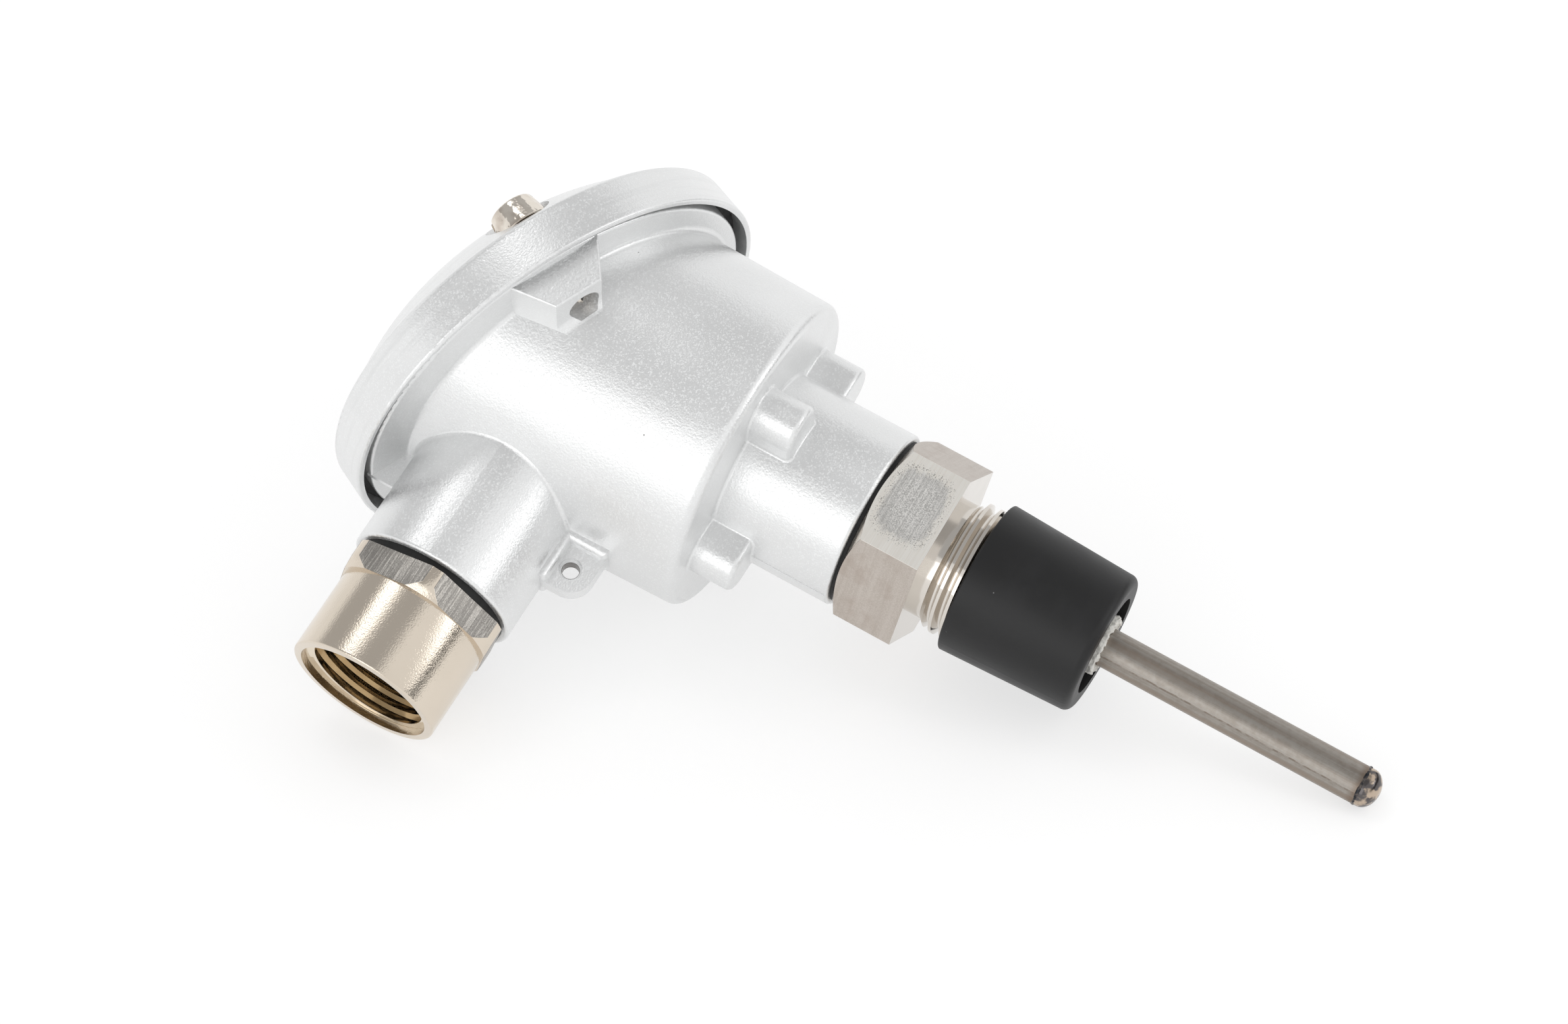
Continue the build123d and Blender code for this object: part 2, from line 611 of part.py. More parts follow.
def thread_cap():
    end_z = CAP_OPEN_Z - CAP_LENGTH
    inner_r = PIPE_THREAD_R + RUNNING_FIT
    face = outline(
        (inner_r, CAP_OPEN_Z), (CAP_OPEN_R, CAP_OPEN_Z), (CAP_END_R, end_z),
        (CAP_HOLE_R, end_z), (CAP_HOLE_R, end_z + CAP_END_WALL), (inner_r - CAP_BORE_TAPER, end_z + CAP_END_WALL),
        (inner_r, -PIPE_THREAD_LENGTH),
    )
    face = eased(face, (CAP_END_R, end_z, CAP_EDGE_R), (CAP_OPEN_R, CAP_OPEN_Z, CAP_LIP_R))
    return turned(face)


def torn_seal_ring():
    """Ragged ring: its outline's radius wanders round the sheath."""
    high = CAP_OPEN_Z - CAP_LENGTH + TORN_RING_LENGTH - TORN_RING_STANDS_OUT
    points = []
    for step in range(TORN_RING_TEETH):
        angle = 2 * pi * step / TORN_RING_TEETH
        wander = 0.6 * sin(3 * angle + 1) + 0.4 * sin(7 * angle) * cos(2 * angle)
        radius = TORN_RING_R + TORN_RING_RAGGED * wander
        points.append((radius * cos(angle), radius * sin(angle)))
    rag = Pos(0, 0, high - TORN_RING_LENGTH) * extrude(outline(*points), TORN_RING_LENGTH)
    return rag - rod(WELD_R, high - TORN_RING_LENGTH - OVERLAP, high + OVERLAP)


def probe_sheath():
    return ring(SHEATH_R, BORE_R, SEAM_Z, SHEATH_TOP_Z)


def sheath_tip():
    """Rounded end plug with a short spigot inside the sheath."""
    low = SEAM_Z - TIP_LENGTH
    knee_z = SEAM_Z - TIP_STRAIGHT
    side = Polyline((0, SEAM_Z), (SHEATH_R, SEAM_Z), (SHEATH_R, knee_z))
    nose = EllipticalCenterArc((0, knee_z), SHEATH_R, knee_z - low, start_angle=270, arc_size=90)
    axis_line = Line((0, low), (0, SEAM_Z))
    dome = turned(make_face(side + nose + axis_line))
    return dome + rod(BORE_R - FIXED_FIT, SEAM_Z - TIP_STRAIGHT, SEAM_Z + TIP_PLUG_LENGTH)


def sensing_element():
    return rod(BORE_R - ELEMENT_CLEARANCE, ELEMENT_LOW_Z, ELEMENT_TOP_Z)


def wire_start(angle_deg):
    return WIRE_CIRCLE_R * cos(radians(angle_deg)), WIRE_CIRCLE_R * sin(radians(angle_deg))


def sheath_plug(wire_angles):
    plug = rod(BORE_R - FIXED_FIT, SHEATH_TOP_Z - POTTING_LENGTH, SHEATH_TOP_Z)
    for angle in wire_angles:
        x, y = wire_start(angle)
        plug -= rod(WIRE_R + FIXED_FIT, SHEATH_TOP_Z - POTTING_LENGTH - OVERLAP, SHEATH_TOP_Z + OVERLAP, x, y)
    return plug


def lead_wire(angle_deg, x_side, y_side):
    """Straight up the sheath, then over to its terminal."""
    x, y = wire_start(angle_deg)
    end_x = x_side * (TERMINAL_X - TERMINAL_WIDTH / 2 + WIRE_IN_CLAMP)
    end_y = y_side * TERMINAL_Y
    path = FilletPolyline(
        (x, y, ELEMENT_TOP_Z + FACE_GAP), (x, y, WIRE_Z), (end_x - x_side * WIRE_END_RUN, end_y, WIRE_Z),
        (end_x, end_y, WIRE_Z), radius=WIRE_BEND_R,
    )
    section = Plane(origin=path @ 0, z_dir=path % 0) * Circle(WIRE_R)
    return sweep(section, path=path)


# Terminal block, its clamps and screws

def terminal_places():
    return [(1, 1), (-1, 1), (-1, -1), (1, -1)]


def terminal_block():
    face = outline((0, BLOCK_Z), (BLOCK_R, BLOCK_Z), (BLOCK_R, BLOCK_TOP_Z), (0, BLOCK_TOP_Z))
    body = turned(eased(face, (BLOCK_R, BLOCK_TOP_Z, BLOCK_EDGE_R)))
    barrier_top = BLOCK_TOP_Z + BARRIER_HEIGHT
    inner_x = BLOCK_HOLE_R + BARRIER_FROM_HOLE
    for side in (1, -1):
        barrier_x = side * (inner_x + BARRIER_LENGTH / 2)
        body += block(BARRIER_LENGTH, BARRIER_THICK, BLOCK_TOP_Z - OVERLAP, barrier_top, barrier_x)
    body -= rod(BLOCK_HOLE_R, BLOCK_Z - OVERLAP, BLOCK_TOP_Z + OVERLAP)
    for side in (1, -1):
        y = side * BOSS_CIRCLE_R
        body -= rod(BLOCK_SCREW_R + FIXED_FIT, BLOCK_Z - OVERLAP, BLOCK_TOP_Z + OVERLAP, 0, y)
    return body


def block_screw(side):
    low = BLOCK_TOP_Z - BLOCK_SCREW_LENGTH
    top = BLOCK_TOP_Z + BLOCK_SCREW_HEAD_HEIGHT
    screw = rod(BLOCK_SCREW_R, low, BLOCK_TOP_Z) + rod(BLOCK_SCREW_HEAD_R, BLOCK_TOP_Z, top)
    screw -= slot(3 * BLOCK_SCREW_HEAD_R, BLOCK_SCREW_SLOT, BLOCK_SCREW_SLOT, top)
    return Pos(0, side * BOSS_CIRCLE_R, 0) * screw


def terminal(x_side, y_side):
    top = BLOCK_TOP_Z + TERMINAL_HEIGHT
    body = block(TERMINAL_WIDTH, TERMINAL_WIDTH, BLOCK_TOP_Z, top)
    across = Plane(origin=(0, 0, WIRE_Z), x_dir=(0, 1, 0), z_dir=(1, 0, 0))
    body -= across * rod(TERMINAL_WIRE_HOLE_R, -TERMINAL_WIDTH, TERMINAL_WIDTH)
    body -= rod(TERMINAL_SCREW_R + FIXED_FIT, WIRE_Z, top + OVERLAP)
    return Pos(x_side * TERMINAL_X, y_side * TERMINAL_Y, 0) * body


def terminal_screw(x_side, y_side):
    top = BLOCK_TOP_Z + TERMINAL_HEIGHT
    head_top = top + TERMINAL_SCREW_HEAD_HEIGHT
    screw = rod(TERMINAL_SCREW_R, WIRE_Z + WIRE_R + FIXED_FIT, top)
    screw += rod(TERMINAL_SCREW_HEAD_R, top, head_top)
    screw -= slot(3 * TERMINAL_SCREW_HEAD_R, TERMINAL_SCREW_SLOT, TERMINAL_SCREW_SLOT, head_top)
    return Pos(x_side * TERMINAL_X, y_side * TERMINAL_Y, 0) * screw


def main():
    save(head_housing(), "head_housing")
    save(head_lid(), "head_lid")
    save(lid_gasket(), "lid_gasket")
    for name, side in (("near", 1), ("far", -1)):
        save(lid_screw(side), "lid_screw_" + name)
        save(lid_screw_washer(side), "lid_screw_washer_" + name)
        save(block_screw(side), "block_screw_" + name)
    save(entry_seal(), "entry_seal")
    save(conduit_adapter(), "conduit_adapter")
    save(neck_gasket(), "neck_gasket")
    save(hex_nipple(), "hex_nipple")
    save(thread_cap(), "thread_cap")
    save(torn_seal_ring(), "torn_seal_ring")
    save(probe_sheath(), "probe_sheath")
    save(sheath_tip(), "sheath_tip")
    save(sensing_element(), "sensing_element")
    wires = {
        "lead_wire_red_1": (RED_WIRE_1_DEG, 1, 1),
        "lead_wire_red_2": (RED_WIRE_2_DEG, -1, 1),
        "lead_wire_white": (WHITE_WIRE_DEG, -1, -1),
    }
    save(sheath_plug([place[0] for place in wires.values()]), "sheath_plug")
    for name, place in wires.items():
        save(lead_wire(*place), name)
    save(terminal_block(), "terminal_block")
    for number, (x_side, y_side) in enumerate(terminal_places(), start=1):
        save(terminal(x_side, y_side), "terminal_%d" % number)
        save(terminal_screw(x_side, y_side), "terminal_screw_%d" % number)


main()
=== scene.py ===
from math import ceil, cos, pi, radians, sin

import bpy
from mathutils import Matrix, Vector


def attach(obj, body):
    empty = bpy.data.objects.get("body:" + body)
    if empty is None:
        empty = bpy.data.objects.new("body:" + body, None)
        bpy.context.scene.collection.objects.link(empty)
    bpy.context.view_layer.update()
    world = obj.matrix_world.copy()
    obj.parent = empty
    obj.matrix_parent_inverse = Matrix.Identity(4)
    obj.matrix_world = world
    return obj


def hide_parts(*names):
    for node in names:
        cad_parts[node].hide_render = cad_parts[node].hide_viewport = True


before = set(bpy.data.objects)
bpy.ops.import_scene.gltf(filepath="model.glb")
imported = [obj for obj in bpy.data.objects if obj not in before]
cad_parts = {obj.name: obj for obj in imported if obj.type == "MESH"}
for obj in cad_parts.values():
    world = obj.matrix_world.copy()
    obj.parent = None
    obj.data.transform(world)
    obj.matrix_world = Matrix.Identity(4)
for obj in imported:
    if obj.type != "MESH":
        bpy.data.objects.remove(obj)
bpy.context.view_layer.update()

scene = bpy.context.scene
scene.view_settings.view_transform = "Standard"


# Camera
# It stands about 0.65 m off and looks 40 degrees down on the table that the probe lies on.
# Its place, turn and focal length come from the sheath, thread and hexagon sizes seen in the photograph.
camera_data = bpy.data.cameras.new("view_camera")
camera_data.sensor_fit = "HORIZONTAL"
camera_data.sensor_width = 36.0
camera_data.lens = 101.9
camera = bpy.data.objects.new("view_camera", camera_data)
scene.collection.objects.link(camera)
camera.location = (0.24628, 0.59729, -0.09531)
camera.rotation_euler = (radians(111.128), radians(59.76), radians(176.511))
scene.camera = camera


# Table, ceiling and lamps
# The probe lies on its lid's rim, its cable adapter and its tip, so the white table is tilted to touch all three.
# A grey ring overhead with a lamp in its middle and a low dark card on the right give the metal its streaks. Both
# show only in surfaces. The walls are the white world.
class Signal:
    """One output of a shader node. Sums on it add Math nodes, and node() adds any other kind."""

    def __init__(self, tree, socket=None):
        self.tree = tree
        self.socket = socket

    def node(self, kind, settings=None, inputs=None, output=0):
        made = self.tree.nodes.new("ShaderNode" + kind)
        for name, value in (settings or {}).items():
            setattr(made, name, value)
        for name, value in (inputs or {}).items():
            if isinstance(value, Signal):
                self.tree.links.new(value.socket, made.inputs[name])
            else:
                made.inputs[name].default_value = value
        return Signal(self.tree, made.outputs[output])

    def math(self, operation, *values):
        return self.node("Math", {"operation": operation}, dict(enumerate(values)))

    def __add__(self, other):
        return self.math("ADD", self, other)

    def __sub__(self, other):
        return self.math("SUBTRACT", self, other)

    def __rsub__(self, other):
        return self.math("SUBTRACT", other, self)

    def __mul__(self, other):
        return self.math("MULTIPLY", self, other)

    def __truediv__(self, other):
        return self.math("DIVIDE", self, other)

    def __pow__(self, other):
        return self.math("POWER", self, other)

    __radd__ = __add__
    __rmul__ = __mul__

    def fade(self, low, high):
        """Goes smoothly from 0 to 1 while this value goes from low to high."""
        return self.node("MapRange", {"interpolation_type": "SMOOTHSTEP"},
                         {"Value": self, "From Min": low, "From Max": high, "To Min": 0.0, "To Max": 1.0})

    def other(self, output):
        """Another output of the node that this one comes from."""
        return Signal(self.tree, self.socket.node.outputs[output])

    def along(self, way):
        """How far this place lies in a direction."""
        return self.node("VectorMath", {"operation": "DOT_PRODUCT"}, {0: self, 1: way}, output="Value")

    def from_point(self, point):
        """This place as seen from a point."""
        return self.node("VectorMath", {"operation": "SUBTRACT"}, {0: self, 1: point})

    def length(self, parts):
        """The length of this vector, with only the parts that are 1."""
        kept = self.node("VectorMath", {"operation": "MULTIPLY"}, {0: self, 1: parts})
        return kept.node("VectorMath", {"operation": "LENGTH"}, {0: kept}, output="Value")

    def size(self):
        return self.math("ABSOLUTE", self)

    def mix(self, first, second):
        """The first colour where this value is 0 and the second where it is 1."""
        return self.node("Mix", {"data_type": "RGBA"}, {0: self, 6: first, 7: second}, output=2)


def tint(red, green, blue):
    return (red, green, blue, 1.0)


TABLE_UP = Vector((-0.3611, 0.9040, 0.2288)).normalized()
TABLE_TOUCH = Vector((0.0012, -0.0027, -0.0706))
TABLE_GAP = 0.0003
table_turn = TABLE_UP.to_track_quat("Z", "Y").to_matrix().to_4x4()
table_place = Matrix.Translation(TABLE_TOUCH - TABLE_UP * TABLE_GAP) @ table_turn

bpy.ops.mesh.primitive_plane_add(size=3.0)
table = bpy.context.object
table.name = "table"
table.data.transform(table_place)
paint = bpy.data.materials.new("table_white")
paint.use_nodes = True
tree = paint.node_tree
tree.nodes.clear()
start = Signal(tree)
rays = start.node("LightPath")
seen = start.math("MINIMUM", rays + rays.other("Is Glossy Ray") + rays.other("Is Transmission Ray"), 1.0)
bouncing = start.node("BsdfDiffuse", inputs={"Color": tint(0.6, 0.6, 0.6)})
shaded = start.node("BsdfDiffuse", inputs={"Color": tint(0.45, 0.45, 0.45)})
glow = start.node("Emission", inputs={"Color": tint(1, 1, 1), "Strength": 0.61})
shown = start.node("AddShader", inputs={0: shaded, 1: glow})
lit = start.node("MixShader", inputs={0: seen, 1: bouncing, 2: shown})
clear = start.node("BsdfTransparent")
back = start.node("NewGeometry", output="Backfacing")
face = start.node("MixShader", inputs={0: back, 1: lit, 2: clear})
end = tree.nodes.new("ShaderNodeOutputMaterial")
tree.links.new(face.socket, end.inputs["Surface"])
table.data.materials.append(paint)

world = bpy.data.worlds.new("white_walls")
scene.world = world
world.use_nodes = True
world.node_tree.nodes["Background"].inputs["Color"].default_value = tint(1, 1, 1)
world.node_tree.nodes["Background"].inputs["Strength"].default_value = 0.95


def unseen_grey(name, strength):
    """A plain glow that shows fully in glossy surfaces and half in dull ones, but not to the camera."""
    grey = bpy.data.materials.new(name)
    grey.use_nodes = True
    tree = grey.node_tree
    tree.nodes.clear()
    start = Signal(tree)
    glow = start.node("Emission", inputs={"Color": tint(1, 1, 1), "Strength": strength})
    open_air = start.node("BsdfTransparent")
    rays = start.node("LightPath", output="Is Glossy Ray")
    share = rays + rays.other("Is Diffuse Ray") * 0.5
    face = start.node("MixShader", inputs={0: share, 1: open_air, 2: glow})
    end = tree.nodes.new("ShaderNodeOutputMaterial")
    tree.links.new(face.socket, end.inputs["Surface"])
    grey.cycles.emission_sampling = "NONE"
    return grey


TOWARDS_CAMERA = Vector((0.7928, 0.4271, -0.4346))
TO_THE_RIGHT = Vector((-0.5027, 0.0307, -0.8639))
CEILING_R = 1.5
CEILING_LOW_DEG = 42.0
CEILING_HIGH_DEG = 76.0
LAMP_LIFT = 0.93
LAMP_FORWARD = -0.17
LAMP_RIGHT = -0.33
CEILING_MIDDLE = TABLE_UP * LAMP_LIFT + TOWARDS_CAMERA * LAMP_FORWARD + TO_THE_RIGHT * LAMP_RIGHT
bpy.ops.mesh.primitive_uv_sphere_add(segments=48, ring_count=90, radius=CEILING_R)
ceiling = bpy.context.object
ceiling.name = "ceiling"
bpy.ops.object.mode_set(mode="EDIT")
for height, clear_high in ((sin(radians(CEILING_LOW_DEG)), False), (sin(radians(CEILING_HIGH_DEG)), True)):
    bpy.ops.mesh.select_all(action="SELECT")
    bpy.ops.mesh.bisect(plane_co=(0, 0, CEILING_R * height), plane_no=(0, 0, 1), clear_inner=not clear_high,
                        clear_outer=clear_high)
bpy.ops.object.mode_set(mode="OBJECT")
ceiling_turn = CEILING_MIDDLE.to_track_quat("Z", "Y").to_matrix().to_4x4()
ceiling.data.transform(Matrix.Translation(TABLE_TOUCH) @ ceiling_turn)
ceiling.data.materials.append(unseen_grey("ceiling_grey", 0.5))

MIDDLE = Vector((0.010, 0.0, 0.020))
LAMPS_AWAY = 0.85
CARD_AWAY = 0.24
CARD_HEIGHT = 0.075
CARD_WIDTH = 0.7
bpy.ops.mesh.primitive_plane_add(size=1.0)
card = bpy.context.object
card.name = "dark_card"
card_turn = Matrix((TOWARDS_CAMERA, TABLE_UP, TO_THE_RIGHT)).transposed().to_4x4()
card_foot = TABLE_TOUCH + TO_THE_RIGHT * CARD_AWAY + TABLE_UP * CARD_HEIGHT / 2
card.data.transform(Matrix.Translation(card_foot) @ card_turn @ Matrix.Diagonal((CARD_WIDTH, CARD_HEIGHT, 1, 1)))
card.data.materials.append(unseen_grey("card_grey", 0.12))

for name, lift, forward, right, width, radiance in (
        ("ceiling_lamp", LAMP_LIFT, LAMP_FORWARD, LAMP_RIGHT, 0.25, 1.6),
        ("camera_side_lamp", 0.34, 0.79, -0.51, 0.55, 1.0),
        ("right_side_lamp", 0.29, 0.24, 0.93, 0.40, 1.3),
):
    lamp_data = bpy.data.lights.new(name, "AREA")
    lamp_data.shape = "SQUARE"
    lamp_data.size = width
    lamp_data.energy = pi * width ** 2 * radiance
    lamp = bpy.data.objects.new(name, lamp_data)
    scene.collection.objects.link(lamp)
    way = (TABLE_UP * lift + TOWARDS_CAMERA * forward + TO_THE_RIGHT * right).normalized()
    lamp.location = MIDDLE + way * LAMPS_AWAY
    lamp.rotation_euler = way.to_track_quat("Z", "Y").to_euler()


# Head casting
# The aluminium head is die cast, barrel finished and sprayed with silver paint that is full of fine flakes.
# The paint is a little uneven, sparkles in the half shade and has a few dark specks. The earth lug's hole wall is bare
# metal, painted near black for the shade inside it.
def new_finish(name, **constants):
    """A material with its Principled shader, a start for its nodes and the object's own coordinates."""
    finish = bpy.data.materials.new(name)
    finish.use_nodes = True
    shader = finish.node_tree.nodes["Principled BSDF"]
    for socket, value in constants.items():
        shader.inputs[socket.replace("_", " ")].default_value = value
    place = Signal(finish.node_tree).node("TexCoord", output="Object")
    return finish, shader, place


def feed(shader, socket, signal):
    shader.id_data.links.new(signal.socket, shader.inputs[socket])


def dress(finish, *nodes):
    for node in nodes:
        for material_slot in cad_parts[node].material_slots:
            material_slot.material = finish


def noise(place, scale, detail=2.0, roughness=0.5, stretch=(1, 1, 1)):
    """A cloudy value between 0 and 1. The scale is in bumps per metre."""
    if stretch != (1, 1, 1):
        place = place.node("Mapping", inputs={"Vector": place, "Scale": stretch})
    return place.node("TexNoise", inputs={"Vector": place, "Scale": scale, "Detail": detail, "Roughness": roughness})


def silver_paint(name, marks, mark_tint):
    """Flaky silver lacquer, with marks of another tint where the marks function says so."""
    finish, shader, place = new_finish(name, Metallic=0.64, IOR=1.5, Coat_Weight=0.3, Coat_Roughness=0.2)
    clouds = noise(place, 60, 3)
    flake = place.node("TexVoronoi", inputs={"Vector": place, "Scale": 5200.0}, output="Color")
    glint = place.node("SeparateColor", inputs={"Color": flake}).fade(0.72, 0.95)
    colour = clouds.fade(0.35, 0.65).mix(tint(0.815, 0.82, 0.82), tint(0.86, 0.865, 0.865))
    colour = (glint * 0.5).mix(colour, tint(0.97, 0.98, 0.98))
    colour = marks(place).mix(colour, mark_tint)
    speck = place.node("TexVoronoi", inputs={"Vector": place, "Scale": 210.0}, output="Distance")
    some = place.node("SeparateColor", inputs={"Color": speck.other("Color")}).fade(0.90, 0.91)
    feed(shader, "Base Color", ((1 - speck.fade(0.02, 0.045)) * some * 0.85).mix(colour, tint(0.12, 0.11, 0.10)))
    feed(shader, "Roughness", 0.27 + clouds * 0.09 + glint * 0.25)
    bumps = noise(place, 3400, 2) * 0.5 + noise(place, 1700, 2) * 0.5
    feed(shader, "Normal", place.node("Bump", inputs={"Strength": 0.7, "Distance": 0.00008, "Height": bumps}))
    return finish


EARTH_HOLE = (0.030, 0.0, 0.0455)
EARTH_HOLE_R = 0.0013


def earth_hole_bare_and_shaded(place):
    """1 on the wall of the earth lug's tapped hole: bare metal, painted near black as the shade inside the hole."""
    return 1 - place.from_point(EARTH_HOLE).length((1, 0, 1)).fade(EARTH_HOLE_R + 0.00004, EARTH_HOLE_R + 0.00008)


dress(silver_paint("silver_paint_head", earth_hole_bare_and_shaded, tint(0.16, 0.15, 0.14)), "head_housing")


# Lid
# It is cast and sprayed like the head. Its rim band was turned, so faint streaks run round it under the paint.
LID_TILT = radians(24.11)
LID_CENTRE = Vector((0.00202, 0.0, 0.06472))
lid_place = Matrix.Translation(LID_CENTRE) @ Matrix.Rotation(-LID_TILT, 4, "Y")


def in_lid_frame(place):
    """The place as seen from the lid: Z is the height over the lid's plane."""
    level = place.node("Mapping", {"vector_type": "TEXTURE"}, {
        "Vector": place, "Location": LID_CENTRE, "Rotation": (0, -LID_TILT, 0)})
    return level.node("SeparateXYZ", inputs={"Vector": level})


def turning_streaks(place):
    split = in_lid_frame(place)
    across = split.node("CombineXYZ", inputs={
        "X": split * 0.04, "Y": split.other("Y") * 0.04, "Z": split.other("Z")})
    return noise(across, 1300, 3, 0.6).fade(0.45, 0.75) * 0.45


dress(silver_paint("silver_paint_lid", turning_streaks, tint(0.74, 0.745, 0.745)), "head_lid")


# Black rubber rings
# The lid's gasket, the thin ring between neck and nipple and the ring under the cable adapter are black rubber.
black_rubber, shader, place = new_finish("black_rubber", Metallic=0.0, Specular_IOR_Level=0.3)
feed(shader, "Base Color", noise(place, 500).mix(tint(0.006, 0.006, 0.006), tint(0.018, 0.018, 0.018)))
feed(shader, "Roughness", 0.45 + noise(place, 700) * 0.25)
dress(black_rubber, "lid_gasket", "neck_gasket")


# Lid screws
# Two nickel-plated steel screws with a cone point hold the lid down. Each has a coarse machine thread.
# They are captive: a washer sits under each head, coloured near-black brown as painted shade of the gap under the
# head.
def only(piece):
    bpy.ops.object.select_all(action="DESELECT")
    piece.select_set(True)
    bpy.context.view_layer.objects.active = piece


def pick(piece, test):
    """In edit mode, select the vertices whose place passes the test."""
    bpy.ops.mesh.select_mode(type="VERT")
    bpy.ops.mesh.select_all(action="DESELECT")
    bpy.ops.object.mode_set(mode="OBJECT")
    for vertex in piece.data.vertices:
        vertex.select = test(vertex.co)
    bpy.ops.object.mode_set(mode="EDIT")


def apply_modifier(piece, kind, **settings):
    only(piece)
    modifier = piece.modifiers.new(kind.lower(), kind)
    for name, value in settings.items():
        setattr(modifier, name, value)
    bpy.ops.object.modifier_apply(modifier=modifier.name)


def merged_copy(node, name):
    """The CAD node's own shape as a new piece with its corners merged."""
    piece = bpy.data.objects.new(name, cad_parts[node].data.copy())
    scene.collection.objects.link(piece)
    only(piece)
    bpy.ops.object.mode_set(mode="EDIT")
    bpy.ops.mesh.select_all(action="SELECT")
    bpy.ops.mesh.remove_doubles(threshold=0.000002)
    bpy.ops.object.mode_set(mode="OBJECT")
    bpy.ops.mesh.customdata_custom_splitnormals_clear()
    return piece


def take_over(piece, finish, body, node):
    """Give the piece its finish and body, and let it stand in for the CAD node."""
    piece.data.materials.clear()
    piece.data.materials.append(finish)
    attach(piece, body)
    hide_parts(node)


def cut_thread(piece, crest_r, root_r, pitch, low, high, at, steps=64):
    """Cut a right-hand thread by sweeping a V-shaped tool along a helix and taking it away from the piece."""
    mouth_half_width = pitch * 0.42
    root_share = 0.2
    overshoot = pitch * 0.13
    outwards = 1 if crest_r > root_r else -1
    mouth = crest_r + outwards * overshoot
    middle = (mouth + root_r) / 2
    bpy.ops.object.select_all(action="DESELECT")
    bpy.ops.mesh.primitive_plane_add(size=2.0, rotation=(pi / 2, 0, 0))
    tool = bpy.context.object
    bpy.ops.object.transform_apply(location=False, rotation=True, scale=True)
    bpy.ops.object.mode_set(mode="EDIT")
    bpy.ops.mesh.select_all(action="SELECT")
    bpy.ops.transform.resize(value=(abs(mouth - root_r) / 2, 1, mouth_half_width), center_override=(0, 0, 0))
    bpy.ops.transform.translate(value=(middle, 0, low))
    pick(tool, lambda point: (point.x - middle) * outwards < 0)
    bpy.ops.transform.resize(value=(1, 1, root_share), center_override=(0, 0, low))
    bpy.ops.object.mode_set(mode="OBJECT")
    apply_modifier(tool, "SCREW", axis="Z", angle=2 * pi, screw_offset=pitch, iterations=ceil((high - low) / pitch),
                   steps=steps, render_steps=steps, use_merge_vertices=False, use_smooth_shade=False)
    bpy.ops.object.mode_set(mode="EDIT")
    bpy.ops.mesh.select_all(action="SELECT")
    bpy.ops.mesh.remove_doubles(threshold=0.0000005)
    bpy.ops.mesh.fill_holes(sides=8)
    bpy.ops.mesh.select_all(action="SELECT")
    bpy.ops.mesh.normals_make_consistent(inside=False)
    bpy.ops.object.mode_set(mode="OBJECT")
    tool.data.transform(at)
    apply_modifier(piece, "BOOLEAN", operation="DIFFERENCE", object=tool, solver="EXACT")
    bpy.data.objects.remove(tool, do_unlink=True)
    only(piece)
    bpy.ops.object.shade_smooth_by_angle(angle=radians(32))


LID_SCREW_X = -0.00115
LID_SCREW_Y = 0.0277
LID_SCREW_CREST_R = 0.0025
LID_SCREW_ROOT_R = 0.00202
LID_SCREW_PITCH = 0.0008
LID_SCREW_THREAD = (-0.0049, 0.0030)
screw_plating, shader, place = new_finish("screw_plating", Metallic=1.0)
dents = noise(place, 700, 2)
plating = noise(place, 300, 2).fade(0.4, 0.65).mix(tint(0.82, 0.76, 0.68), tint(0.60, 0.53, 0.46))
# Down in the lug's hole the screw's colour turns dark with near-black blotches: painted shade inside the hole.
in_the_hole = 1 - in_lid_frame(place).other("Z").fade(-0.0042, -0.0026)
painted_hole_shade = noise(place, 800, 2).fade(0.46, 0.54).mix(tint(0.70, 0.65, 0.58), tint(0.05, 0.045, 0.04))
feed(shader, "Base Color", in_the_hole.mix(plating, painted_hole_shade))
feed(shader, "Roughness", 0.07 + dents * 0.10)
feed(shader, "Normal", place.node("Bump", inputs={"Strength": 1.0, "Distance": 0.00022, "Height": dents}))
for side, name in ((1, "near"), (-1, "far")):
    screw = merged_copy("lid_screw_" + name, "lid_screw_threaded_" + name)
    cut_thread(screw, LID_SCREW_CREST_R, LID_SCREW_ROOT_R, LID_SCREW_PITCH, *LID_SCREW_THREAD,
               lid_place @ Matrix.Translation((LID_SCREW_X, side * LID_SCREW_Y, 0)), steps=40)
    take_over(screw, screw_plating, "lid_screw_" + name, "lid_screw_" + name)
# The washers' near-black brown colour is painted shade of the gap under each head.
finish, shader, place = new_finish("washer_painted_shade", Metallic=0.0)
feed(shader, "Base Color", noise(place, 1500).mix(tint(0.05, 0.035, 0.022), tint(0.12, 0.09, 0.06)))
feed(shader, "Roughness", 0.6 + noise(place, 900) * 0.2)
dress(finish, "lid_screw_washer_near", "lid_screw_washer_far")


# Entry seal
# The black rubber ring between the entry boss and the cable adapter lies squeezed between the two. It ends where
# the adapter's flats end, so it shows only in the gap.
ENTRY_Z = 0.0615
SEAL_MIDDLE_R = 0.0115
SEAL_SHOWN_SHARE = 0.94
seal = merged_copy("entry_seal", "squeezed_seal")
bpy.ops.object.mode_set(mode="EDIT")
pick(seal, lambda point: Vector((point.y, point.z - ENTRY_Z)).length > SEAL_MIDDLE_R)
bpy.ops.transform.resize(value=(1, SEAL_SHOWN_SHARE, SEAL_SHOWN_SHARE), center_override=(0, 0, ENTRY_Z))
bpy.ops.object.mode_set(mode="OBJECT")
bpy.ops.object.shade_smooth_by_angle(angle=radians(32))
take_over(seal, black_rubber, "probe", "entry_seal")


